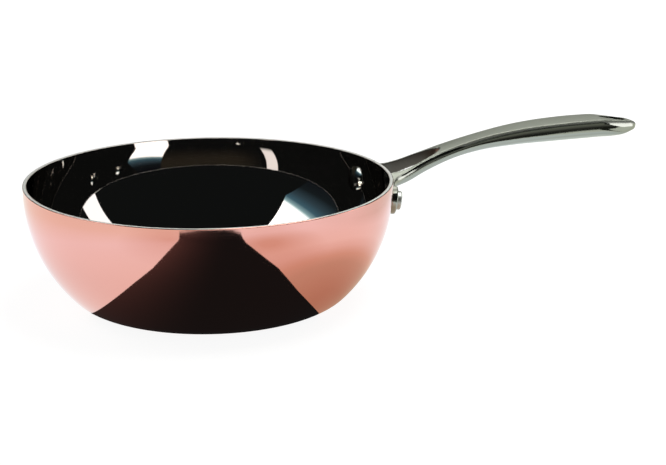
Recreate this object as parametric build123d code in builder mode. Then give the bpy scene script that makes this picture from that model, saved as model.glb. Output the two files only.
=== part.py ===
from build123d import *
from math import asin, cos, degrees, radians, sin, sqrt
import os

os.makedirs("parts", exist_ok=True)

# Saucier pan, 24 cm across the rim. Millimetres. The origin is the centre of the flat
# base, on the plane that it stands on. +Z is up, and the handle points along +X.

# Bowl, measured on its outer face
rim_radius = 120.0
bowl_height = 79.2
straight_rim = 4.3
corner_radius = 23.2
corner_slope = 45.7  # degrees from level, where the wall meets the corner of the base
copper_ply = 0.4
aluminium_ply = 1.5
steel_ply = 0.5
rim_softening = 0.25

# Rivets, one through each ear of the handle, square to the wall
rivet_drop = 16.8  # from the rim down to the rivet
rivet_azimuth = 14.7  # degrees each side of the handle
shank_radius = 3.2
rivet_clearance = 0.05
inner_head_radius = 8.2
inner_head_height = 3.0
inner_head_brim = 0.9
inner_head_crown = 16.0
outer_head_radius = 6.2
outer_head_height = 3.0
outer_head_softening = 0.9

# Handle: how far it reaches and climbs, and its section at the grip
handle_reach = 192.4  # from the wall to the tip
root_dip = 1.3  # crest of the root, below the rim
grip_rise = 21.3  # crest of the grip, above the rim
grip_depth = 15.0
grip_half_width = 11.8
crown_radius = 150.0
belly_radius = 16.0
crest_softening = 1.3
belly_softening = 3.0
# Sections from the root to the tip. Each row is a share of the reach, of the climb, of the
# grip's depth, of the section's depth by which the crest droops at its sides, of the belly
# radius, of the grip's half width, of the rivets' offset, and of the crest and belly softening.
section_shares = (
    (-0.050, 0.000, 0.77, 0.370, 16.0, 0.66, 0.679, 0.5, 0.25),
    (-0.010, 0.000, 0.77, 0.385, 13.0, 0.66, 0.659, 0.5, 0.25),
    (0.008, 0.000, 0.77, 0.265, 8.00, 0.66, 0.495, 0.9, 0.4),
    (0.036, 0.000, 0.76, 0.193, 5.60, 0.66, 0.351, 1.0, 0.6),
    (0.075, 0.060, 0.77, 0.150, 3.60, 0.66, 0.242, 1.0, 0.7),
    (0.148, 0.240, 0.70, 0.100, 2.20, 0.66, 0.109, 1.0, 0.8),
    (0.250, 0.475, 0.64, 0.042, 1.15, 0.66, 0.039, 1.0, 0.9),
    (0.357, 0.680, 0.68, 0.010, 0.80, 0.69, 0.000, 1.0, 1.0),
    (0.499, 0.875, 0.83, 0.000, 0.90, 0.82, 0.000, 1.0, 1.0),
    (0.650, 0.975, 0.95, 0.000, 1.00, 0.97, 0.000, 1.0, 1.0),
    (0.795, 0.995, 0.97, 0.000, 1.00, 0.99, 0.000, 1.0, 1.0),
    (0.842, 0.985, 0.95, 0.000, 1.00, 0.97, 0.000, 1.0, 1.0),
    (0.884, 0.930, 0.88, 0.000, 1.00, 0.89, 0.000, 1.0, 1.0),
    (0.936, 0.858, 0.73, 0.000, 1.00, 0.66, 0.000, 1.1, 0.9),
    (0.969, 0.815, 0.60, 0.000, 1.00, 0.46, 0.000, 1.2, 0.6),
    (0.991, 0.735, 0.41, 0.000, 1.00, 0.24, 0.000, 0.9, 0.3),
    (1.000, 0.610, 0.12, 0.000, 1.00, 0.07, 0.000, 0.3, 0.1),
)

# Slot between the arms, from its round end back to the wall, and the hanging hole
slot_length = 42.3  # from the wall
slot_half_width = 12.1
slot_flare_start = 7.8
slot_flare_radius = 12.0
slot_shares = ((0.90, 0.41), (0.71, 0.67), (0.44, 0.89))
hole_length = 19.5
hole_end_radius = 5.2
hole_start_radius = 2.0
hole_margin = 9.5  # metal left between the hole and the tip

# Ears, which hang from the arms and carry the rivets
ear_radius = 9.5
ear_thickness = 3.7
ear_softening = 1.2

overrun = 30.0  # how far every cut runs past the metal

wall_thickness = copper_ply + aluminium_ply + steel_ply
turn = 90.0 - corner_slope
wall_radius = (bowl_height - straight_rim - corner_radius * (1 - sin(radians(turn)))) / sin(radians(turn))
root_x = rim_radius
tip_x = root_x + handle_reach
crest_climb = root_dip + grip_rise
cut_height = bowl_height + grip_rise + overrun
lean = degrees(asin((rivet_drop - straight_rim) / wall_radius))
seat_radius = rim_radius - wall_radius * (1 - cos(radians(lean)))
rivet_offset = seat_radius * sin(radians(rivet_azimuth))  # from the handle's line


def rivet_plane(azimuth):
    """Plane that touches the wall at a rivet and faces outwards."""
    across = Vector(-sin(radians(azimuth)), cos(radians(azimuth)), 0)
    out = Vector(cos(radians(azimuth)), sin(radians(azimuth)), 0)
    seat = out * seat_radius + Vector(0, 0, bowl_height - rivet_drop)
    return Plane(seat, x_dir=across, z_dir=out * cos(radians(lean)) - Vector(0, 0, sin(radians(lean))))


def wall_line(inset):
    """Half outline of the bowl, this far in from its outer face, from the rim to the axis."""
    rim = Line((rim_radius - inset, bowl_height), (rim_radius - inset, bowl_height - straight_rim))
    wall = JernArc(rim @ 1, rim % 1, wall_radius - inset, -turn)
    corner = JernArc(wall @ 1, wall % 1, corner_radius - inset, turn - 90)
    base = Line(corner @ 1, (0, inset))
    return rim @ 0, base @ 1


def ply_section(outer_inset, inner_inset):
    """Section of the wall between two depths from its outer face, soft at the rim's two edges."""
    with BuildSketch(Plane.XZ) as section:
        with BuildLine():
            outer_rim, outer_base = wall_line(outer_inset)
            inner_rim, inner_base = wall_line(inner_inset)
            Line(outer_rim, inner_rim)
            Line(outer_base, inner_base)
        make_face()
        rim_corners = section.vertices().group_by(Axis.Y)[-1].sort_by(Axis.X)
        if outer_inset == 0:
            fillet(rim_corners[-1], rim_softening)
        if inner_inset == wall_thickness:
            fillet(rim_corners[0], rim_softening)
    return section.sketch


def handle_section(reach, rise, depth, droop, belly, width, flare, crest_edge, belly_edge):
    """Section of the handle: crowned above, round below, with soft corners."""
    top = bowl_height - root_dip + rise * crest_climb
    bottom = top - depth * grip_depth
    half = width * grip_half_width + flare * rivet_offset
    crown_sag = half**2 / (2 * crown_radius) + droop * depth * grip_depth
    belly_sag = belly * belly_radius - sqrt((belly * belly_radius) ** 2 - half**2)
    with BuildSketch(Plane.YZ.offset(root_x + reach * handle_reach)) as section:
        with BuildLine():
            crest = ThreePointArc((-half, top - crown_sag), (0, top), (half, top - crown_sag))
            under = ThreePointArc((-half, bottom + belly_sag), (0, bottom), (half, bottom + belly_sag))
            Line(crest @ 0, under @ 0)
            Line(crest @ 1, under @ 1)
        make_face()
        fillet(section.vertices().group_by(Axis.Y)[-1], crest_edge * crest_softening)
        fillet(section.vertices().group_by(Axis.Y)[0], belly_edge * belly_softening)
    return section.sketch


near_plane = rivet_plane(-rivet_azimuth)
far_plane = rivet_plane(rivet_azimuth)

# The bowl's outer form as one lump, and its wall as one piece, to cut the seats with
with BuildPart() as bowl_lump:
    with BuildSketch(Plane.XZ):
        with BuildLine():
            rim_end, base_end = wall_line(0)
            Polyline(base_end, (0, bowl_height), rim_end)
        make_face()
    revolve(axis=Axis.Z)
with BuildPart() as bowl_wall:
    add(ply_section(0, wall_thickness))
    revolve(axis=Axis.Z)

# Bowl: three plies bonded face to face, each bored for the rivets
ply_depths = {
    "copper_shell": (0, copper_ply),
    "aluminium_core": (copper_ply, copper_ply + aluminium_ply),
    "steel_liner": (copper_ply + aluminium_ply, wall_thickness),
}
for name, (outer_depth, inner_depth) in ply_depths.items():
    with BuildPart() as ply:
        add(ply_section(outer_depth, inner_depth))
        revolve(axis=Axis.Z)
        with BuildSketch(near_plane, far_plane):
            Circle(shank_radius + rivet_clearance)
        extrude(amount=overrun, both=True, mode=Mode.SUBTRACT)
    ply.part.label = name
    export_step(ply.part, f"parts/{name}.step")

# Ears: two round pads, soft at the outer edge, that run into the wall
with BuildPart() as ears:
    for plane in (near_plane, far_plane):
        with BuildSketch(plane.offset(-ear_thickness)):
            Circle(ear_radius)
        extrude(amount=2 * ear_thickness)
        fillet(ears.faces().sort_by(Axis(plane.origin, plane.z_dir))[-1].edges(), ear_softening)

# Handle: one casting, forked at the root, with an ear on the wall under each arm
with BuildPart() as handle:
    loft(sections=[handle_section(*row) for row in section_shares])
    add(ears.part)
    with BuildSketch() as slot:
        with BuildLine():
            waist = (root_x + slot_flare_start, slot_half_width)
            side = Spline(
                (root_x + slot_length, 0),
                *[(root_x + along * slot_length, across * slot_half_width) for along, across in slot_shares],
                waist,
                tangents=((0, 1), (-1, 0)),
            )
            flare = JernArc(side @ 1, (-1, 0), slot_flare_radius, -90)
            Polyline(flare @ 1, (root_x - overrun, (flare @ 1).Y), (root_x - overrun, 0))
            mirror(about=Plane.XZ)
        make_face()
    extrude(amount=cut_height, mode=Mode.SUBTRACT)
    with BuildSketch() as hole:
        with Locations((tip_x - hole_margin - hole_end_radius, 0)):
            Circle(hole_end_radius)
        with Locations((tip_x - hole_margin - hole_length + hole_start_radius, 0)):
            Circle(hole_start_radius)
        make_hull()
    extrude(amount=cut_height, mode=Mode.SUBTRACT)
    add(bowl_lump.part, mode=Mode.SUBTRACT)
    with BuildSketch(near_plane, far_plane):
        Circle(shank_radius + rivet_clearance)
    extrude(amount=overrun, both=True, mode=Mode.SUBTRACT)
    with BuildSketch(near_plane.offset(ear_thickness), far_plane.offset(ear_thickness)):
        Circle(outer_head_radius + rivet_clearance)
    extrude(amount=overrun, mode=Mode.SUBTRACT)
handle.part.label = "handle"
export_step(handle.part, "parts/handle.step")

# Rivets: a domed head in the bowl, a shank through the wall and ear, a flat head outside
for name, plane in {"near_rivet": near_plane, "far_rivet": far_plane}.items():
    axis = Axis(plane.origin, plane.z_dir)
    mid_wall = -wall_thickness / 2
    brim = -wall_thickness - inner_head_brim
    crown = -wall_thickness - inner_head_height
    with BuildPart() as rivet:
        with BuildSketch(Plane(plane.origin, x_dir=plane.z_dir, z_dir=plane.x_dir)):
            with BuildLine():
                Polyline((brim, inner_head_radius), (mid_wall, inner_head_radius), (mid_wall, 0), (crown, 0))
                RadiusArc((crown, 0), (brim, inner_head_radius), -inner_head_crown)
            make_face()
        revolve(axis=axis)
        add(bowl_wall.part, mode=Mode.SUBTRACT)
        with BuildSketch(plane.offset(brim)):
            Circle(shank_radius)
        extrude(amount=ear_thickness - brim)
        with BuildSketch(plane.offset(ear_thickness)):
            Circle(outer_head_radius)
        extrude(amount=outer_head_height)
        fillet(rivet.faces().sort_by(axis)[-1].edges(), outer_head_softening)
    rivet.part.label = name
    export_step(rivet.part, f"parts/{name}.step")
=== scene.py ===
"""Looks of the saucier pan: polished plies, cast handle, rivets and a small studio.

Sizes are in metres, in the frame of the CAD model.
"""

import math

import bmesh
import bpy
from bpy.props import FloatProperty, FloatVectorProperty, IntProperty, PointerProperty
from mathutils import Matrix, Vector


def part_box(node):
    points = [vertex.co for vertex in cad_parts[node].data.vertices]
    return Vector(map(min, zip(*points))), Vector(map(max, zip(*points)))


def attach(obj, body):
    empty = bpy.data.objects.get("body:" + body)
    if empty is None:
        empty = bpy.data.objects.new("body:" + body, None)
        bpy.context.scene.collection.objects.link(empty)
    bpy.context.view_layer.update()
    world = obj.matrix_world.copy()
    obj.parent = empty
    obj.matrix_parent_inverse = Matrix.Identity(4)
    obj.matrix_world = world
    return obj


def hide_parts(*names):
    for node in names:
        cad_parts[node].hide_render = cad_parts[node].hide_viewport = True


bl_info = {
    "name": "Saucier Pan",
    "version": (1, 0, 0),
    "blender": (4, 5, 0),
    "location": "View3D > Sidebar > Pan",
    "description": "Models and finishes a copper saucier pan with a riveted steel handle",
    "category": "Add Mesh",
}

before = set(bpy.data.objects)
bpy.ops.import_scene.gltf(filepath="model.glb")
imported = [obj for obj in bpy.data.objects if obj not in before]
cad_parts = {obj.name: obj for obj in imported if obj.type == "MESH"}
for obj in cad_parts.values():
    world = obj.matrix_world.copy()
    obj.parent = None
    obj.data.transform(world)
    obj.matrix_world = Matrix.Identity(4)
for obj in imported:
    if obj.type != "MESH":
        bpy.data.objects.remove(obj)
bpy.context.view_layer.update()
RIM_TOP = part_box("copper_shell")[1].z
RIM_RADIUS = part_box("copper_shell")[1].x
TIP_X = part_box("handle")[1].x
REACH = TIP_X - RIM_RADIUS
ORIGIN = (0, 0, 0)


# Settings


def length(name, default, description):
    """A size in metres that the sidebar shows with its unit."""
    return FloatProperty(
        name=name, default=default, description=description, unit="LENGTH", precision=5
    )


def angle(name, degrees, description):
    """An angle that the sidebar shows in degrees."""
    return FloatProperty(
        name=name, default=math.radians(degrees), description=description, subtype="ANGLE"
    )


def colour(name, default, description):
    """A linear colour that the sidebar shows as a swatch."""
    return FloatVectorProperty(
        name=name, default=default, description=description, subtype="COLOR", size=3, min=0, max=1
    )


class PanBowlSettings(bpy.types.PropertyGroup):
    """Sizes and colours of the bowl."""

    straight_rim: length("Straight rim", 0.0043, "Height of the straight band under the rim")
    corner_radius: length("Corner radius", 0.0232, "Radius where the wall turns into the base")
    corner_slope: angle("Corner slope", 45.7, "Slope of the wall, from level, at the corner")
    copper_ply: length("Copper", 0.0004, "Thickness of the copper skin")
    aluminium_ply: length("Aluminium", 0.0015, "Thickness of the aluminium core")
    steel_ply: length("Steel", 0.0005, "Thickness of the steel lining")
    rim_softening: length("Rim softening", 0.00025, "Radius on the rim's two edges")
    steps: IntProperty(
        name="Steps round", default=192, min=24, max=512, description="Facets round the bowl"
    )
    copper: colour("Copper colour", (0.83, 0.405, 0.342), "Colour of the polished copper")
    steel: colour("Lining colour", (0.74, 0.69, 0.66), "Colour of the polished lining")
    aluminium: colour("Core colour", (0.80, 0.80, 0.78), "Colour of the ground aluminium")


class PanHandleSettings(bpy.types.PropertyGroup):
    """Sizes and colour of the handle."""

    root_dip: length("Root dip", 0.0013, "Crest of the root, below the rim")
    grip_rise: length("Grip rise", 0.0213, "Crest of the grip, above the rim")
    grip_depth: length("Grip depth", 0.015, "Depth of the grip's section")
    grip_half_width: length("Grip half width", 0.0118, "Half the width of the grip")
    crown_radius: length("Crown radius", 0.150, "Radius across the grip's top")
    belly_radius: length("Belly radius", 0.016, "Radius across the grip's underside")
    crest_softening: length("Crest softening", 0.0013, "Radius on the two top edges")
    belly_softening: length("Belly softening", 0.003, "Radius on the two lower edges")
    side_swell: length("Side swell", 0.0004, "How far the grip's sides lean in towards the top")
    slot_length: length("Slot length", 0.0423, "From the wall to the slot's round end")
    slot_half_width: length("Slot half width", 0.0121, "Half the slot's width near the wall")
    hole_length: length("Hole length", 0.0195, "Length of the hanging hole")
    hole_end_radius: length("Hole radius", 0.0052, "Wide end of the hanging hole")
    hole_start_radius: length("Hole start radius", 0.0020, "Narrow end of the hanging hole")
    hole_margin: length("Hole margin", 0.0095, "Metal between the hole and the tip")
    ear_radius: length("Ear radius", 0.0095, "Radius of each ear")
    ear_thickness: length("Ear thickness", 0.0037, "Thickness of each ear")
    ear_softening: length("Ear softening", 0.0012, "Radius on each ear's edge")
    voxel: length("Casting grain", 0.0005, "Size of the mesh that the casting is cut from")
    steel: colour("Handle colour", (0.37, 0.38, 0.34), "Colour of the polished casting")


class PanRivetSettings(bpy.types.PropertyGroup):
    """Sizes and colour of the rivets."""

    drop: length("Drop", 0.0168, "From the rim down to a rivet")
    azimuth: angle("Azimuth", 14.7, "Turn of each rivet from the handle's line")
    inner_radius: length("Inner head radius", 0.0082, "Radius of the head in the bowl")
    inner_height: length("Inner head height", 0.0030, "Height of the head in the bowl")
    inner_brim: length("Inner head brim", 0.0009, "Height of the inner head's edge")
    outer_radius: length("Outer head radius", 0.0062, "Radius of the head on the ear")
    outer_height: length("Outer head height", 0.0030, "Height of the head on the ear")
    outer_softening: length("Outer head softening", 0.0009, "Radius on the outer head's edge")
    shank_radius: length("Shank radius", 0.0032, "Radius of the shank")
    steel: colour("Rivet colour", (0.55, 0.56, 0.53), "Colour of the polished rivets")


class PanStudioSettings(bpy.types.PropertyGroup):
    """Place, aim and lens of the camera."""

    camera: FloatVectorProperty(
        name="Camera",
        default=(-0.28637, -1.05047, 0.35726),
        subtype="TRANSLATION",
        description="Where the camera stands",
    )
    pitch: angle("Pitch", 73.841, "Tilt of the camera from straight down")
    heading: angle("Heading", -19.5, "Turn of the camera about the vertical")
    lens: FloatProperty(
        name="Lens", default=92.97, description="Focal length in millimetres", min=10, max=300
    )


# Finishes

# Sockets of a Mix node set to colours: its two colours, and its result
MIX_LOW, MIX_HIGH, MIX_RESULT = 6, 7, 2


class Wire:
    """A socket whose arithmetic adds Math nodes."""

    def __init__(self, paint, socket):
        self.paint, self.socket = paint, socket

    def _maths(self, operation, *values):
        return self.paint.node("ShaderNodeMath", {"operation": operation}, dict(enumerate(values)))

    def __add__(self, other):
        return self._maths("ADD", self, other)

    def __sub__(self, other):
        return self._maths("SUBTRACT", self, other)

    def __rsub__(self, other):
        return self._maths("SUBTRACT", other, self)

    def __mul__(self, other):
        return self._maths("MULTIPLY", self, other)

    def __truediv__(self, other):
        return self._maths("DIVIDE", self, other)

    __radd__, __rmul__ = __add__, __mul__

    def root(self):
        return self._maths("SQRT", self)

    def clipped(self):
        """Held between 0 and 1."""
        return self._maths("MINIMUM", self._maths("MAXIMUM", self, 0.0), 1.0)

    def ramp(self, start, end):
        """0 up to the start, 1 from the end on and even between them."""
        return ((self - start) / (end - start)).clipped()


class Paint:
    """Builds the nodes of a material or of the world."""

    def __init__(self, owner):
        owner.use_nodes = True
        self.owner, self.tree = owner, owner.node_tree
        self.tree.nodes.clear()

    def node(self, kind, settings=None, inputs=None, output=0):
        """A node of this type: its settings first, then the values or links of its sockets."""
        made = self.tree.nodes.new(kind)
        for name, value in (settings or {}).items():
            if name == "stops":
                elements = made.color_ramp.elements
                while len(elements) < len(value):
                    elements.new(1.0)
                for element, (place, tint) in zip(elements, value):
                    element.position, element.color = place, (*tint, 1)
            else:
                setattr(made, name, value)
        for key, value in (inputs or {}).items():
            if isinstance(value, Wire):
                self.tree.links.new(value.socket, made.inputs[key])
            else:
                made.inputs[key].default_value = value
        return Wire(self, made.outputs[output]) if len(made.outputs) else None

    def split(self, vector):
        """The three parts of a vector."""
        node = self.node("ShaderNodeSeparateXYZ", inputs={0: vector}).socket.node
        return [Wire(self, part) for part in node.outputs]

    def place(self):
        """Where a point is on its piece: the vector, then its x, y and z."""
        whole = self.node("ShaderNodeTexCoord", output="Object")
        return whole, *self.split(whole)

    def noise(self, where, scale, detail):
        """Cloudy noise from 0 to 1."""
        inputs = {"Vector": where, "Scale": scale, "Detail": detail}
        return self.node("ShaderNodeTexNoise", inputs=inputs)

    def stretched(self, where, scale):
        """Places scaled along the three axes, so that noise on them runs in lines."""
        return self.node("ShaderNodeMapping", inputs={"Vector": where, "Scale": scale})

    def tints(self, factor, low, high, blend="MIX"):
        """A colour from low to high, each of them a colour or a wire."""
        low, high = (end if isinstance(end, Wire) else (*end, 1) for end in (low, high))
        return self.node(
            "ShaderNodeMix",
            {"data_type": "RGBA", "blend_type": blend},
            {"Factor": factor, MIX_LOW: low, MIX_HIGH: high},
            MIX_RESULT,
        )

    def ended(self, shader, output="ShaderNodeOutputMaterial"):
        """Joins the last shader to the output, and gives what was painted."""
        self.node(output, inputs={"Surface": shader})
        return self.owner

    def metal(self, tone, rough, relief, strength, depth):
        """Ends the material as bare metal with a fine relief of this depth."""
        inputs = {"Strength": strength, "Distance": depth, "Height": relief}
        bump = self.node("ShaderNodeBump", inputs=inputs)
        inputs = {"Base Color": tone, "Metallic": 1.0, "Roughness": rough, "Normal": bump}
        return self.ended(self.node("ShaderNodeBsdfPrincipled", inputs=inputs))

    def glow(self, tint, strength=1.0):
        """Ends the material as a plain light."""
        inputs = {"Color": tint, "Strength": strength}
        return self.ended(self.node("ShaderNodeEmission", inputs=inputs))


def new_paint(name):
    """Paint for a new material."""
    return Paint(bpy.data.materials.new(name))


def shade(tint, share):
    """A colour made darker or lighter by this share."""
    return tuple(min(1.0, channel * share) for channel in tint)


def polished(name, tint, grain, roughness, mottle, hairlines, ground=False):
    """Polished metal: a faint change of tone, fine hairlines and a roughness that wanders.

    A ply that shows in the ground rim is matt there.
    """
    paint = new_paint(name)
    where, _, _, z = paint.place()
    cloud = paint.noise(where, grain, 4.0)
    rub = paint.noise(paint.stretched(where, (1, 1, 6)), grain * 9, 2.0)
    tone = paint.tints(cloud, shade(tint, 1 - mottle), shade(tint, 1 + mottle))
    rough = roughness * (0.7 + 0.6 * rub)
    if ground:
        rim_face = z.ramp(RIM_TOP - 0.00035, RIM_TOP - 0.00015)
        rough = rough + rim_face * (0.60 + 0.08 * rub)
    lines = paint.noise(paint.stretched(where, (1, 1, 12)), grain * 22, 2.0)
    return paint.metal(tone, rough, lines, hairlines, 0.0001)


def ply_finishes(bowl):
    """Finishes of the three plies, from the outside in."""
    copper = polished("polished_copper", bowl.copper, 14, 0.045, mottle=0.03, hairlines=0.03)
    core = polished(
        "ground_aluminium", bowl.aluminium, 60, 0.10, mottle=0.04, hairlines=0.2, ground=True
    )
    lining = polished(
        "mirror_steel", bowl.steel, 18, 0.02, mottle=0.02, hairlines=0.015, ground=True
    )
    return copper, core, lining


# Length of the handle's root, where the polish reaches higher up the arms, and of its fade
ROOT_LENGTH, ROOT_FADE = 0.058, 0.020
# How far a face has to look up, from 0 to 1, to begin to be satin and to be all satin, how much
# farther it has to at the root, and the same two for the flat top, which gets a painted highlight
SATIN_UP, ROOT_LIFT, FLAT_UP = (0.12, 0.37), 0.5, (0.82, 0.97)
# Length over which the slot's painted shade and roughness fade beyond the slot's end
SLOT_FADE = 0.003
# Colour of the painted shade on the slot's sides, and the shares of the handle's colour for the
# painted shade on the sloped edges and the painted highlight on the flat top
SLOT_PAINTED_SHADE, EDGE_PAINTED_SHADE, FLAT_PAINTED_HIGHLIGHT = (0.145, 0.145, 0.13), 0.66, 1.35


def cast_finish(handle):
    """Polished sides and underside, a brushed satin top with a painted highlight on its flat and
    painted shade on its slopes, and painted shade on the rougher slot's sides.
    """
    paint = new_paint("cast_steel")
    where, x, y, _ = paint.place()
    _, across, up = paint.split(paint.node("ShaderNodeNewGeometry", output="Normal"))
    root = x.ramp(RIM_RADIUS + ROOT_LENGTH, RIM_RADIUS + ROOT_LENGTH - ROOT_FADE)
    satin = (up - ROOT_LIFT * root).ramp(*SATIN_UP)
    polish = 1.0 - satin
    flat = up.ramp(*FLAT_UP)
    inward = (y * across).ramp(0.0, -0.0025)
    slot_end = RIM_RADIUS + handle.slot_length
    slot = inward * x.ramp(slot_end + SLOT_FADE, slot_end) * polish
    cloud = paint.noise(where, 35, 4.0)
    brushed = paint.noise(paint.stretched(where, (0.6, 14, 14)), 160, 3.0)

    tone = paint.tints(cloud, shade(handle.steel, 0.97), shade(handle.steel, 1.03))
    # Painted shade on the satin slopes below the flat top, and a painted highlight on the flat top
    tone = paint.tints(satin * (1.0 - flat), tone, shade(handle.steel, EDGE_PAINTED_SHADE))
    tone = paint.tints(flat, tone, shade(handle.steel, FLAT_PAINTED_HIGHLIGHT))
    # Painted shade on the slot's sides, between the arms
    tone = paint.tints(slot, tone, SLOT_PAINTED_SHADE)

    # A mirror polish, then the roughness that the arms, the satin and the slot add to it
    rough = 0.035 + 0.03 * cloud
    rough = rough + root * polish * (0.08 + 0.05 * brushed)
    rough = rough + satin * (0.76 - 0.32 * flat + 0.12 * brushed)
    rough = rough + slot * (0.22 + 0.1 * cloud)
    return paint.metal(tone, rough, satin * brushed, 0.15, 0.00005)


def rivet_finish(rivet):
    """Polished in the bowl, where the head is domed, and satin on the ear."""
    paint = new_paint("rivet_steel")
    where, x, y, _ = paint.place()
    outside = (x * x + y * y).root().ramp(RIM_RADIUS - 0.004, RIM_RADIUS - 0.001)
    cloud = paint.noise(where, 60, 4.0)
    rub = paint.noise(where, 700, 2.0)
    tone = paint.tints(cloud, shade(rivet.steel, 0.96), shade(rivet.steel, 1.02))
    rough = 0.05 + 0.04 * rub + outside * (0.33 + 0.08 * cloud)
    return paint.metal(tone, rough, rub, 0.05, 0.00005)


# Shared ways of modelling


def only(piece):
    """Selects just this object and makes it active."""
    bpy.ops.object.select_all(action="DESELECT")
    piece.select_set(True)
    bpy.context.view_layer.objects.active = piece


def named(name):
    """Gives this name to the object just made, and to its mesh."""
    piece = bpy.context.object
    piece.name = piece.data.name = name
    return piece


def draw_outline(name, points):
    """One vertex, extruded from point to point and left in edit mode."""
    bpy.ops.object.select_all(action="DESELECT")
    bpy.ops.mesh.primitive_plane_add(size=0.001, location=ORIGIN)
    piece = named(name)
    bpy.ops.object.mode_set(mode="EDIT")
    bpy.ops.mesh.select_all(action="SELECT")
    bpy.ops.mesh.merge(type="CENTER")
    bpy.ops.transform.translate(value=points[0])
    for last, point in zip(points, points[1:]):
        step = Vector(point) - Vector(last)
        bpy.ops.mesh.extrude_vertices_move(TRANSFORM_OT_translate={"value": step})
    return piece


def normals_out():
    """Turns all normals of the mesh in edit mode outwards, and leaves edit mode."""
    bpy.ops.mesh.select_all(action="SELECT")
    bpy.ops.mesh.normals_make_consistent(inside=False)
    bpy.ops.object.mode_set(mode="OBJECT")


def spun(name, points, steps, centre=ORIGIN, axis=(0, 0, 1)):
    """A solid of revolution from an outline, closed at its poles."""
    piece = draw_outline(name, points)
    bpy.ops.mesh.select_all(action="SELECT")
    bpy.ops.mesh.spin(steps=steps, angle=math.tau, center=centre, axis=axis)
    bpy.ops.mesh.select_all(action="SELECT")
    bpy.ops.mesh.remove_doubles(threshold=1e-6)
    normals_out()
    return piece


def finished(piece, finish, degrees):
    """Shades a piece smooth but for edges sharper than this, and gives it its finish."""
    only(piece)
    bpy.ops.object.shade_smooth_by_angle(angle=math.radians(degrees))
    piece.data.materials.clear()
    piece.data.materials.append(finish)


def applied(piece, kind, **settings):
    """Adds a modifier with these settings and applies it."""
    only(piece)
    modifier = piece.modifiers.new("change", kind)
    for name, value in settings.items():
        setattr(modifier, name, value)
    bpy.ops.object.modifier_apply(modifier=modifier.name)


def combine(piece, tool, operation):
    """Joins another piece to this one or cuts it out, and deletes that piece."""
    applied(piece, "BOOLEAN", operation=operation, object=tool, solver="EXACT")
    bpy.data.objects.remove(tool)


def arc(centre, radius, start, end, steps):
    """Points of an arc in a plane, from one angle to another in degrees."""
    turns = [math.radians(start + (end - start) * i / steps) for i in range(steps + 1)]
    return [(centre[0] + radius * math.cos(t), centre[1] + radius * math.sin(t)) for t in turns]


def between(share, start, end, leaving, arriving, span):
    """A point part of the way along a smooth curve, from its ends and the slopes there."""
    square, cube = share**2, share**3
    return (
        (2 * cube - 3 * square + 1) * start
        + (cube - 2 * square + share) * span * leaving
        + (3 * square - 2 * cube) * end
        + (cube - square) * span * arriving
    )


# Bowl

# Steps over the wall's large arc and its corner arc, and shares of the base's radius with a ring
WALL_STEPS, TURN_STEPS, BASE_SHARES = 40, 20, (0.85, 0.5, 0.2, 0.0)
# How many times softer the copper's edge is than the lining's
COPPER_SOFTNESS = 1.5
# Width of the narrow ring under the rim's rounding, which keeps its shading off the wall
RIM_GUARD = 0.0002


def wall_arc(bowl):
    """The wall's large arc: its radius, the height of its centre, and its turn to the corner."""
    turn = math.pi / 2 - bowl.corner_slope
    height = RIM_TOP - bowl.straight_rim
    radius = (height - bowl.corner_radius * (1 - math.sin(turn))) / math.sin(turn)
    return radius, height, turn


def wall_outline(bowl, inset):
    """Half outline of the bowl this far in from its outer face, from the rim to the axis."""
    radius, height, turn = wall_arc(bowl)
    centre = (RIM_RADIUS - radius, height)
    corner = (
        centre[0] + (radius - bowl.corner_radius) * math.cos(turn),
        centre[1] - (radius - bowl.corner_radius) * math.sin(turn),
    )
    down = -math.degrees(turn)
    points = [(RIM_RADIUS - inset, RIM_TOP)]
    points += arc(centre, radius - inset, 0, down, WALL_STEPS)
    points += arc(corner, bowl.corner_radius - inset, down, -90, TURN_STEPS)[1:]
    points += [(points[-1][0] * share, inset) for share in BASE_SHARES]
    return points


def ply_outline(bowl, outer, inner, soft_outer, soft_inner):
    """Closed half section of one ply, from the axis outside, over the rim and back inside."""
    outside = wall_outline(bowl, outer)[::-1]
    inside = wall_outline(bowl, inner)
    if soft_outer:
        soft = bowl.rim_softening * COPPER_SOFTNESS
        outside[-1:] = [(RIM_RADIUS - outer, RIM_TOP - soft - RIM_GUARD)]
        outside += arc((RIM_RADIUS - outer - soft, RIM_TOP - soft), soft, 0, 90, steps=5)
    if soft_inner:
        soft = bowl.rim_softening
        rounding = arc((RIM_RADIUS - inner + soft, RIM_TOP - soft), soft, 90, 180, steps=5)
        inside[:1] = [*rounding, (RIM_RADIUS - inner, RIM_TOP - soft - RIM_GUARD)]
    return [(radius, 0, z) for radius, z in outside + inside]


class PAN_OT_bowl(bpy.types.Operator):
    """Spin the three plies of the bowl and polish them"""

    bl_idname = "pan.bowl"
    bl_label = "Bowl"

    def execute(self, context):
        bowl = context.scene.pan_bowl
        depths = (0, bowl.copper_ply, bowl.copper_ply + bowl.aluminium_ply)
        wall = depths[-1] + bowl.steel_ply
        plies = (
            ("copper_skin", "copper_shell", "copper", depths[0], depths[1]),
            ("core_edge", "aluminium_core", "aluminium", depths[1], depths[2]),
            ("bright_lining", "steel_liner", "liner_steel", depths[2], wall),
        )
        for (name, node, slot, outer, inner), finish in zip(plies, ply_finishes(bowl)):
            points = ply_outline(bowl, outer, inner, outer == 0, inner == wall)
            piece = spun(name, points, bowl.steps)
            finished(piece, finish, degrees=30)
            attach(piece, "root")
            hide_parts(node)
        return {"FINISHED"}


# Handle

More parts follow.
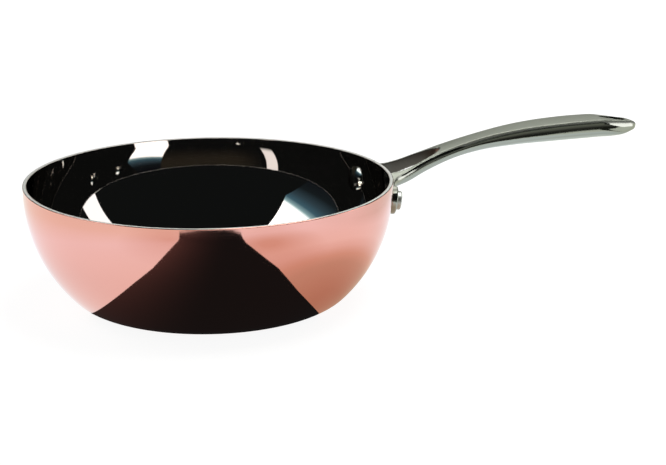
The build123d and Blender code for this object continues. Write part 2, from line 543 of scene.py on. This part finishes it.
# Sections from the root to the tip. Each row holds the share of the reach, then shares of the
# climb, of the grip's depth, of the section's own depth by which the crest droops at its sides,
# of the belly radius, of the grip's half width, of the rivets' offset, and of the crest's and
# the belly's softening.
HANDLE_SECTIONS = (
    (-0.050, 0.000, 0.77, 0.370, 16.0, 0.66, 0.679, 0.5, 0.25),
    (-0.010, 0.000, 0.77, 0.385, 13.0, 0.66, 0.659, 0.5, 0.25),
    (0.008, 0.000, 0.77, 0.265, 8.00, 0.66, 0.495, 0.9, 0.4),
    (0.036, 0.000, 0.76, 0.193, 5.60, 0.66, 0.351, 1.0, 0.6),
    (0.075, 0.060, 0.77, 0.150, 3.60, 0.66, 0.242, 1.0, 0.7),
    (0.148, 0.240, 0.70, 0.100, 2.20, 0.66, 0.109, 1.0, 0.8),
    (0.250, 0.475, 0.64, 0.042, 1.15, 0.66, 0.039, 1.0, 0.9),
    (0.357, 0.680, 0.68, 0.010, 0.80, 0.69, 0.000, 1.0, 1.0),
    (0.499, 0.875, 0.83, 0.000, 0.90, 0.82, 0.000, 1.0, 1.0),
    (0.650, 0.975, 0.95, 0.000, 1.00, 0.97, 0.000, 1.0, 1.0),
    (0.795, 0.995, 0.97, 0.000, 1.00, 0.99, 0.000, 1.0, 1.0),
    (0.842, 0.985, 0.95, 0.000, 1.00, 0.97, 0.000, 1.0, 1.0),
    (0.884, 0.930, 0.88, 0.000, 1.00, 0.89, 0.000, 1.0, 1.0),
    (0.936, 0.858, 0.72, 0.000, 1.00, 0.66, 0.000, 1.1, 0.9),
    (0.969, 0.815, 0.53, 0.000, 1.00, 0.46, 0.000, 1.2, 0.6),
    (0.991, 0.735, 0.30, 0.000, 1.00, 0.24, 0.000, 0.9, 0.3),
    (1.000, 0.670, 0.09, 0.000, 1.00, 0.07, 0.000, 0.3, 0.1),
)
# Shares of the reach at which the casting gets a ring, closer together in the nose
STATIONS = (
    *(-0.05, -0.03, -0.01),
    *(i / 100 for i in range(94)),
    *(0.94 + i * 0.006 for i in range(8)),
    *(0.986, 0.990, 0.9935, 0.9965, 0.9985, 1.0),
)
# Points across half of a section's crest or belly, round one corner, and down a side
CREST_STEPS, CORNER_STEPS, SIDE_STEPS = 12, 5, 8
# Part of a side, from the crest down, over which it leans
LEANING = 0.65
# Limits as shares of the half width: most softening, most swell and least belly radius
MOST_SOFTENING, MOST_SWELL, LEAST_BELLY = 0.8, 0.05, 1.01
# Shares of the slot's length and half width, from its round end towards the wall, and the steps
# from each to the next
SLOT_SHARES = ((1.0, 0.0), (0.90, 0.41), (0.71, 0.67), (0.44, 0.89))
SLOT_STEPS = 10
# Where the slot is widest, out from the wall, the radius of its flare, and how far in it is cut
SLOT_MOUTH, SLOT_FLARE, SLOT_OVERCUT = 0.0078, 0.012, 0.03
# Lowest point and height of the prisms that cut the slot and the hole
CUT_FLOOR, CUT_HEIGHT = -0.02, 0.16
# How far the form of the bowl, which the casting is cut to, stands above the rim
FORM_RISE = 0.02


def eased(rows, at):
    """A row at this share of the reach, on smooth curves through the given rows."""
    places = [row[0] for row in rows]
    last = len(rows) - 1
    i = min(last - 1, sum(place <= at for place in places[1:]))

    def rise(k, column):
        return (rows[k + 1][column] - rows[k][column]) / (places[k + 1] - places[k])

    def slope(k, column):
        if k in (0, last):
            return rise(min(k, last - 1), column)
        before, after = places[k] - places[k - 1], places[k + 1] - places[k]
        return (rise(k - 1, column) * after + rise(k, column) * before) / (before + after)

    span = places[i + 1] - places[i]
    share = (at - places[i]) / span
    return [at] + [
        between(share, rows[i][c], rows[i + 1][c], slope(i, c), slope(i + 1, c), span)
        for c in range(1, len(rows[0]))
    ]


def rounded_section(handle, row):
    """Ring of points round one section, crowned above, round below, with soft corners."""
    share, rise, depth, droop, belly, width, flare, crest, under = row
    top = RIM_TOP - handle.root_dip + rise * (handle.root_dip + handle.grip_rise)
    bottom = top - depth * handle.grip_depth
    half = width * handle.grip_half_width + flare * abs(rivet_plane()[0].y)
    sag = half**2 / (2 * handle.crown_radius) + droop * depth * handle.grip_depth
    crown_radius = (half**2 + sag**2) / (2 * sag)
    belly_radius = max(belly * handle.belly_radius, half * LEAST_BELLY)
    crown_z, belly_z = top - crown_radius, bottom + belly_radius
    crest_edge = min(crest * handle.crest_softening, half * MOST_SOFTENING)
    belly_edge = min(under * handle.belly_softening, half * MOST_SOFTENING)
    swell = min(handle.side_swell, half * MOST_SWELL)

    # Each soft corner touches the side and the curve above or below it
    upper_y = half - crest_edge
    upper_z = crown_z + math.sqrt((crown_radius - crest_edge) ** 2 - upper_y**2)
    upper_end = math.degrees(math.atan2(upper_z - crown_z, upper_y))
    lower_y = half - belly_edge
    lower_z = belly_z - math.sqrt((belly_radius - belly_edge) ** 2 - lower_y**2)
    lower_end = math.degrees(math.atan2(lower_z - belly_z, lower_y))

    right = arc((upper_y, upper_z), crest_edge, upper_end, 0, CORNER_STEPS)
    for i in range(1, SIDE_STEPS):
        down = i / SIDE_STEPS
        lean = max(0.0, 1 - down / LEANING) ** 2
        right.append((half + swell * (1 - lean), upper_z + (lower_z - upper_z) * down))
    right += arc((lower_y + swell, lower_z), belly_edge, 0, lower_end, CORNER_STEPS)

    crest_end, belly_end = right[0][0], right[-1][0]
    above = [crest_end * i / CREST_STEPS for i in range(CREST_STEPS)]
    above = [(y, crown_z + math.sqrt(crown_radius**2 - y * y)) for y in above]
    below = [belly_end * (CREST_STEPS - i) / CREST_STEPS for i in range(1, CREST_STEPS + 1)]
    inner = 1 - swell / belly_end
    below = [(y, belly_z - math.sqrt(belly_radius**2 - (y * inner) ** 2)) for y in below]
    half_ring = above + right + below
    ring = half_ring + [(-y, z) for y, z in half_ring[-2:0:-1]]
    return [Vector((RIM_RADIUS + share * REACH, y, z)) for y, z in ring]


def cast(name, rings):
    """A closed solid extruded from ring to ring, each vertex moved to its own point."""
    bpy.ops.object.select_all(action="DESELECT")
    bpy.ops.mesh.primitive_circle_add(
        vertices=len(rings[0]), radius=0.01, fill_type="NGON", location=ORIGIN
    )
    piece = named(name)
    bpy.ops.object.mode_set(mode="EDIT")
    mesh = bmesh.from_edit_mesh(piece.data)
    turn = mesh.verts.layers.int.new("turn")
    for i, vertex in enumerate(mesh.verts):
        vertex[turn] = i
        vertex.co = rings[0][i]
    bpy.ops.mesh.select_all(action="SELECT")
    for ring in rings[1:]:
        bpy.ops.mesh.extrude_region_move(TRANSFORM_OT_translate={"value": (0.001, 0, 0)})
        mesh = bmesh.from_edit_mesh(piece.data)
        turn = mesh.verts.layers.int["turn"]
        for vertex in mesh.verts:
            if vertex.select:
                vertex.co = ring[vertex[turn]]
    normals_out()
    return piece


def cutter(name, outline):
    """A prism with this outline, seen from above, from below to above the casting."""
    piece = draw_outline(name, [(x, y, CUT_FLOOR) for x, y in outline])
    bpy.ops.mesh.select_all(action="SELECT")
    bpy.ops.mesh.edge_face_add()
    bpy.ops.mesh.extrude_region_move(TRANSFORM_OT_translate={"value": (0, 0, CUT_HEIGHT)})
    normals_out()
    return piece


def slot_outline(handle):
    """The slot between the arms, seen from above: round at its end, flared at the wall."""
    reach, wide = handle.slot_length, handle.slot_half_width
    places = (*SLOT_SHARES, (SLOT_MOUTH / reach, 1.0))
    knots = [Vector((RIM_RADIUS + out * reach, side * wide)) for out, side in places]
    tangents = [Vector((0, 1))]
    tangents += [(after - before).normalized() for before, after in zip(knots, knots[2:])]
    tangents += [Vector((-1, 0))]
    shares = [k / SLOT_STEPS for k in range(SLOT_STEPS)]
    half = []
    for start, end, leaving, arriving in zip(knots, knots[1:], tangents, tangents[1:]):
        gap = (end - start).length
        half += [between(share, start, end, leaving, arriving, gap) for share in shares]
    flare = arc((knots[-1].x, knots[-1].y + SLOT_FLARE), SLOT_FLARE, -90, -180, steps=12)
    half += [Vector(point) for point in flare]
    half += [Vector((RIM_RADIUS - SLOT_OVERCUT, flare[-1][1]))]
    return [(p.x, p.y) for p in half] + [(p.x, -p.y) for p in half[:0:-1]]


def hole_outline(handle):
    """The hanging hole, seen from above: a drop with its round end towards the tip."""
    big, small = handle.hole_end_radius, handle.hole_start_radius
    far = TIP_X - handle.hole_margin - big
    near = TIP_X - handle.hole_margin - handle.hole_length + small
    tilt = math.degrees(math.asin((big - small) / (far - near)))
    points = arc((far, 0), big, -90 - tilt, 90 + tilt, steps=40)
    points += arc((near, 0), small, 90 + tilt, 270 - tilt, steps=20)
    return points


def soft_edge(height, radius, softening):
    """Points over the rounded edge of a turned disc, as pairs of height and radius."""
    quarter = arc((0, 0), softening, 0, 90, steps=6)
    return [(height - softening + up, radius - softening + out) for out, up in quarter]


def rivet_plane():
    """Where the near rivet meets the wall: the place, and the direction out of the bowl."""
    bowl, rivet = bpy.context.scene.pan_bowl, bpy.context.scene.pan_rivets
    radius = wall_arc(bowl)[0]
    lean = math.asin((rivet.drop - bowl.straight_rim) / radius)
    seat = RIM_RADIUS - radius * (1 - math.cos(lean))
    level = Vector((math.cos(rivet.azimuth), -math.sin(rivet.azimuth), 0))
    out = level * math.cos(lean) - Vector((0, 0, math.sin(lean)))
    return level * seat + Vector((0, 0, RIM_TOP - rivet.drop)), out


def turned(name, outline, steps):
    """A solid of revolution about the near rivet's axis, from (height, radius) points."""
    seat, out = rivet_plane()
    across = out.orthogonal().normalized()
    points = [seat + out * height + across * radius for height, radius in outline]
    return spun(name, points, steps, centre=seat, axis=out)


def far_copy(piece, name):
    """A copy with its own mesh, turned round the bowl from the near rivet to the far one."""
    only(piece)
    bpy.ops.object.duplicate()
    copy = named(name)
    copy.data.transform(Matrix.Rotation(2 * bpy.context.scene.pan_rivets.azimuth, 4, "Z"))
    return copy


class PAN_OT_handle(bpy.types.Operator):
    """Cast the forked handle with its ears, slot and hanging hole"""

    bl_idname = "pan.handle"
    bl_label = "Handle"

    def execute(self, context):
        handle = context.scene.pan_handle
        rings = [rounded_section(handle, eased(HANDLE_SECTIONS, at)) for at in STATIONS]
        piece = cast("cast_handle", rings)
        thick, radius = handle.ear_thickness, handle.ear_radius
        ear = [(-thick, 0), (-thick, radius), (0, radius)]
        ear += soft_edge(thick, radius, handle.ear_softening) + [(thick, 0)]
        near_ear = turned("near_ear", ear, steps=64)
        for part in (far_copy(near_ear, "far_ear"), near_ear):
            combine(piece, part, "UNION")
        above = RIM_TOP + FORM_RISE
        form = [(0, 0, above), (RIM_RADIUS, 0, above)]
        form += [(out, 0, z) for out, z in wall_outline(context.scene.pan_bowl, 0)]
        combine(piece, cutter("slot", slot_outline(handle)), "DIFFERENCE")
        combine(piece, spun("form", form, steps=192), "DIFFERENCE")
        applied(piece, "REMESH", mode="VOXEL", voxel_size=handle.voxel)
        applied(piece, "SMOOTH", factor=0.5, iterations=5)
        combine(piece, cutter("hole", hole_outline(handle)), "DIFFERENCE")
        finished(piece, cast_finish(handle), degrees=50)
        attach(piece, "root")
        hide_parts("handle")
        return {"FINISHED"}


# Rivets

# Steps over the domed head
DOME_STEPS = 16
# The side of the domed head: how far it falls to its widest place, how much wider that is than
# the dome, and how deep the head is sunk in the wall
BRIM_FALL, BRIM_SWELL, HEAD_SINK = 0.0002, 0.00005, 0.0012


class PAN_OT_rivets(bpy.types.Operator):
    """Turn the two rivets, domed inside the bowl and flat on the ears"""

    bl_idname = "pan.rivets"
    bl_label = "Rivets"

    def execute(self, context):
        scene = context.scene
        rivet, bowl, seat = scene.pan_rivets, scene.pan_bowl, scene.pan_handle.ear_thickness
        wall = bowl.copper_ply + bowl.aluminium_ply + bowl.steel_ply
        brim, crown = -wall - rivet.inner_brim, -wall - rivet.inner_height
        rise = rivet.inner_height - rivet.inner_brim
        dome = (rivet.inner_radius**2 + rise**2) / (2 * rise)
        sweep = math.asin(rivet.inner_radius / dome)
        turns = [sweep * i / DOME_STEPS for i in range(DOME_STEPS + 1)]
        outline = [(crown + dome * (1 - math.cos(t)), dome * math.sin(t)) for t in turns]
        outline += [
            (brim + BRIM_FALL, rivet.inner_radius + BRIM_SWELL),
            (-wall + HEAD_SINK, rivet.inner_radius),
            (-wall + HEAD_SINK, rivet.shank_radius),
            (seat, rivet.shank_radius),
            (seat, rivet.outer_radius),
        ]
        top = seat + rivet.outer_height
        outline += soft_edge(top, rivet.outer_radius, rivet.outer_softening)
        outline += [(top, rivet.outer_radius * 0.5), (top, 0)]
        near = turned("near_rivet_turned", outline, steps=96)
        finished(near, rivet_finish(rivet), degrees=40)
        far = far_copy(near, "far_rivet_turned")
        for piece, node in ((near, "near_rivet"), (far, "far_rivet")):
            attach(piece, "root")
            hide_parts(node)
        return {"FINISHED"}


# Studio: panels, mats and a drape that only reflections show, placed for the camera's angle

# Corners of the softboxes
LEFT_SOFTBOX = (
    (-0.447, -0.087, 0.27),
    (-0.405, 0.064, 0.09),
    (-0.344, 0.283, 0.09),
    (-0.344, 0.283, 0.75),
    (-0.447, -0.087, 0.75),
)
RIGHT_SOFTBOX = (
    (1.189, -0.387, 0.016),
    (1.079, -0.055, 0.016),
    (1.079, -0.055, 1.05),
    (1.189, -0.387, 1.05),
)
LOW_SOFTBOX = (
    (0.968, -0.742, 0.062),
    (0.857, -0.290, 0.0),
    (0.800, -0.060, 0.0),
    (0.800, -0.060, 0.14),
    (0.968, -0.742, 0.17),
)
OVERHEAD_SOFTBOX = (
    (0.05, -0.35, 1.15),
    (0.80, -0.35, 1.15),
    (0.80, 0.42, 1.15),
    (0.05, 0.42, 1.15),
)
# A pale card in front of the pan
FRONT_CARD = ((-0.9, -1.4, 0.0), (1.3, -1.4, 0.0), (1.3, -1.4, 0.17), (-0.9, -1.4, 0.17))
# The dark mat before and under the pan: its corners on the floor
FRONT_MAT = (
    (-0.194, -0.329),
    (-0.165, -0.353),
    (-0.135, -0.376),
    (-0.100, -0.389),
    (-0.055, -0.394),
    (-0.030, -0.389),
    (0.000, -0.374),
    (0.008, -0.292),
    (0.041, -0.163),
    (0.046, -0.113),
    (0.053, -0.071),
    (0.045, 0.0),
    (-0.080, 0.0),
    (-0.086, -0.019),
    (-0.106, -0.095),
    (-0.115, -0.135),
    (-0.168, -0.286),
)
# A second mat, farther to the front and right, which the side of the grip mirrors
SIDE_MAT = (
    (0.275, -0.385),
    (0.320, -0.360),
    (0.350, -0.370),
    (0.385, -0.378),
    (0.425, -0.382),
    (0.460, -0.377),
    (0.490, -0.370),
    (0.500, -0.120),
    (0.525, -0.120),
    (0.560, -0.330),
    (0.650, -0.290),
    (0.780, -0.325),
    (0.900, -0.345),
    (2.400, -1.100),
    (3.0, -3.5),
    (-2.0, -3.5),
    (0.200, -0.620),
)
# Height of the mats above the floor
MAT_HEIGHT = 0.0006
# Light of the left and right softboxes and of the card, from the lower edge upwards
LEFT_STOPS = (
    (0.0, (0.002, 0.002, 0.003)),
    (0.35, (0.004, 0.006, 0.007)),
    (0.55, (0.014, 0.026, 0.034)),
    (0.72, (0.023, 0.054, 0.073)),
    (0.84, (0.127, 0.210, 0.227)),
    (0.90, (0.55, 0.62, 0.63)),
    (0.96, (1.0, 1.0, 1.0)),
)
RIGHT_STOPS = (
    (0.0, (0.78, 0.78, 0.78)),
    (0.80, (0.78, 0.78, 0.78)),
    (0.92, (0.42, 0.43, 0.42)),
    (1.0, (0.08, 0.08, 0.08)),
)
CARD_STOPS = (
    (0.0, (0.15, 0.155, 0.13)),
    (0.6, (0.24, 0.25, 0.21)),
    (1.0, (0.20, 0.22, 0.19)),
)
# Light of the floor in metal, from a middle close to the pan's outwards to this distance
FLOOR_MIDDLE, FLOOR_REACH = (0.06, -0.07), 0.5
FLOOR_STOPS = (
    (0.04, (0.54, 0.36, 0.25)),
    (0.128, (0.63, 0.50, 0.38)),
    (0.168, (0.77, 0.62, 0.50)),
    (0.216, (0.93, 0.88, 0.84)),
    (0.272, (1.02, 1.06, 1.06)),
    (0.40, (1.03, 1.11, 1.15)),
    (0.58, (1.07, 1.20, 1.30)),
    (0.80, (1.02, 1.08, 1.02)),
    (1.0, (1.00, 1.06, 0.97)),
)
# Tints that painted copper light and painted shade to the right of the pan give to the floor in
# metal, and its glow to the camera
NO_TINT, COPPER_TINT, RIGHT_PAINTED_SHADE = (1.0, 1.0, 1.0), (0.78, 0.58, 0.48), (0.80, 0.78, 0.71)
CAMERA_FLOOR = (1.15, 1.15, 1.15)


def graded_glow(name, stops, strength, low, high):
    """A panel whose light changes between two heights, by the given stops."""
    paint = new_paint(name)
    *_, z = paint.place()
    tint = paint.node("ShaderNodeValToRGB", {"stops": stops}, {0: z.ramp(low, high)})
    return paint.glow(tint, strength)


def front_glow():
    """Near black, a little lighter and browner towards its left."""
    paint = new_paint("front_mat")
    _, x, y, _ = paint.place()
    left = x.ramp(-0.03, -0.16)
    fade = 1.0 - 0.65 * y.ramp(-0.15, -0.30)
    return paint.glow(paint.tints(left * left * fade, (0.010, 0.013, 0.014), (0.14, 0.09, 0.085)))


def side_glow():
    """Dark close to the pan and lighter farther out."""
    paint = new_paint("side_mat")
    _, _, y, _ = paint.place()
    out = y.ramp(-0.42, -1.12)
    return paint.glow(paint.tints(out, (0.022, 0.023, 0.019), (0.17, 0.175, 0.155)))


def drape_glow():
    """Dark cloth round the set, dull brown behind it."""
    paint = new_paint("dark_drape")
    where, _, y, z = paint.place()
    behind = y.ramp(0.1625, 1.7875) * (1.0 - z.ramp(0.9, 2.1))
    fold = paint.noise(paint.stretched(where, (1, 1, 0.1)), 3.0, 2.0)
    shine = behind * (0.8 + 0.4 * fold)
    return paint.glow(paint.tints(shine, (0.006, 0.007, 0.007), (0.028, 0.025, 0.018)))


def floor_finish():
    """Pale floor, white to the camera but for the pan's shadow.

    Metal mirrors it as white, with painted shade and copper light, warm and darker, where the pan
    shades it, and painted shade, duller, to the right of the pan.
    """
    paint = new_paint("pale_floor")
    where, x, y, _ = paint.place()

    def away(from_x, from_y):
        along, across = x - from_x, y - from_y
        return (along * along + across * across).root()

    cloud = paint.noise(where, 3.0, 2.0)
    tone = paint.tints(cloud, (0.80, 0.80, 0.80), (0.84, 0.84, 0.84))
    matt = paint.node("ShaderNodeBsdfDiffuse", inputs={"Color": tone})

    spread = away(*FLOOR_MIDDLE) / FLOOR_REACH
    mirrored = paint.node("ShaderNodeValToRGB", {"stops": FLOOR_STOPS}, {0: spread})
    # Painted shade and copper light on patches in front of the pan
    front = 1.0 - away(0.06, -0.265).ramp(0.02, 0.14)
    left = 1.0 - away(-0.19, -0.27).ramp(0.0, 0.15)
    warm = paint.tints(front + 0.8 * left, NO_TINT, COPPER_TINT)
    # Painted shade to the right of the pan
    right = x.ramp(0.235, 0.305) * (0.35 + 0.65 * y.ramp(-0.15, 0.0))
    dull = paint.tints(right, NO_TINT, RIGHT_PAINTED_SHADE)
    for tint in (warm, dull):
        mirrored = paint.tints(1.0, mirrored, tint, "MULTIPLY")

    seen = paint.node("ShaderNodeLightPath", output="Is Camera Ray")
    shiny = paint.node("ShaderNodeLightPath", output="Is Glossy Ray")
    tint = paint.tints(seen, mirrored, CAMERA_FLOOR)
    glow = paint.node("ShaderNodeEmission", inputs={"Color": tint, "Strength": 1.0})
    open_floor = away(0.0, 0.0).ramp(0.35, 0.75)
    share = (0.8 + 0.2 * open_floor) * seen + 0.92 * shiny
    return paint.ended(paint.node("ShaderNodeMixShader", inputs={0: share, 1: matt, 2: glow}))


def studio_world():
    """White where the camera or a mirror looks past everything, and soft light elsewhere."""
    paint = Paint(bpy.data.worlds.new("studio"))
    camera, glossy, clear = (
        paint.node("ShaderNodeLightPath", output="Is " + kind + " Ray")
        for kind in ("Camera", "Glossy", "Transmission")
    )
    room = {"Color": (0.95, 1.0, 0.97, 1), "Strength": 0.25}
    white = {"Color": (1, 1, 1, 1), "Strength": 1.0}
    room, white = (paint.node("ShaderNodeBackground", inputs=light) for light in (room, white))
    seen = (camera + glossy + clear).clipped()
    mixed = paint.node("ShaderNodeMixShader", inputs={0: seen, 1: room, 2: white})
    return paint.ended(mixed, "ShaderNodeOutputWorld")


def panel(name, corners, finish):
    """A flat studio panel with these corners: seen only in reflections and as light."""
    piece = draw_outline(name, corners)
    bpy.ops.mesh.select_all(action="SELECT")
    bpy.ops.mesh.edge_face_add()
    bpy.ops.object.mode_set(mode="OBJECT")
    piece.data.materials.append(finish)
    piece.visible_camera = piece.visible_shadow = False
    return piece


class PAN_OT_studio(bpy.types.Operator):
    """Set the floor, lights, drapes and camera"""

    bl_idname = "pan.studio"
    bl_label = "Studio"

    def execute(self, context):
        studio = context.scene.pan_studio
        bpy.ops.object.select_all(action="DESELECT")
        bpy.ops.mesh.primitive_grid_add(x_subdivisions=4, y_subdivisions=4, size=8, location=ORIGIN)
        floor = named("floor")
        floor.data.materials.append(floor_finish())

        for name, corners, stops, strength, low, high in (
            ("left_softbox", LEFT_SOFTBOX, LEFT_STOPS, 2.6, 0.09, 0.34),
            ("right_softbox", RIGHT_SOFTBOX, RIGHT_STOPS, 1.9, 0.0, 1.05),
            ("front_card", FRONT_CARD, CARD_STOPS, 1.0, 0.0, 0.17),
        ):
            panel(name, corners, graded_glow(name, stops, strength, low, high))
        for name, corners, tint, strength in (
            ("low_softbox", LOW_SOFTBOX, (1.0, 1.0, 1.0, 1), 2.4),
            ("overhead_softbox", OVERHEAD_SOFTBOX, (0.97, 1.0, 0.95, 1), 6.7),
        ):
            panel(name, corners, new_paint(name).glow(tint, strength))
        for name, corners, glow in (
            ("front_mat", FRONT_MAT, front_glow()),
            ("side_mat", SIDE_MAT, side_glow()),
        ):
            mat = panel(name, [(x, y, MAT_HEIGHT) for x, y in corners], glow)
            mat.visible_diffuse = False

        bpy.ops.mesh.primitive_uv_sphere_add(segments=48, ring_count=24, radius=3, location=ORIGIN)
        drape = named("dark_drape")
        drape.data.materials.append(drape_glow())
        drape.visible_camera = drape.visible_shadow = drape.visible_diffuse = False

        context.scene.world = studio_world()
        context.scene.view_settings.view_transform = "Standard"
        turn = (studio.pitch, 0, studio.heading)
        bpy.ops.object.camera_add(location=studio.camera, rotation=turn)
        context.scene.camera = context.object
        context.object.data.lens = studio.lens
        context.object.data.clip_start = 0.01
        return {"FINISHED"}


# Add-on

OPERATORS = (PAN_OT_bowl, PAN_OT_handle, PAN_OT_rivets, PAN_OT_studio)
SETTINGS = {
    "pan_bowl": PanBowlSettings,
    "pan_handle": PanHandleSettings,
    "pan_rivets": PanRivetSettings,
    "pan_studio": PanStudioSettings,
}


class PAN_PT_sidebar(bpy.types.Panel):
    """The pan's pieces, each with its button and settings"""

    bl_label = "Saucier pan"
    bl_space_type = "VIEW_3D"
    bl_region_type = "UI"
    bl_category = "Pan"

    def draw(self, context):
        for name, operator in zip(SETTINGS, OPERATORS):
            box = self.layout.box()
            box.operator(operator.bl_idname)
            group = getattr(context.scene, name)
            for key in group.bl_rna.properties.keys():
                if key not in ("rna_type", "name"):
                    box.prop(group, key)


def register():
    for kind in (*SETTINGS.values(), *OPERATORS, PAN_PT_sidebar):
        bpy.utils.register_class(kind)
    for name, kind in SETTINGS.items():
        setattr(bpy.types.Scene, name, PointerProperty(type=kind))


def unregister():
    for name in SETTINGS:
        delattr(bpy.types.Scene, name)
    for kind in (PAN_PT_sidebar, *reversed(OPERATORS), *SETTINGS.values()):
        bpy.utils.unregister_class(kind)


def main():
    register()
    bpy.ops.pan.bowl()
    bpy.ops.pan.handle()
    bpy.ops.pan.rivets()
    bpy.ops.pan.studio()


if __name__ == "__main__":
    main()
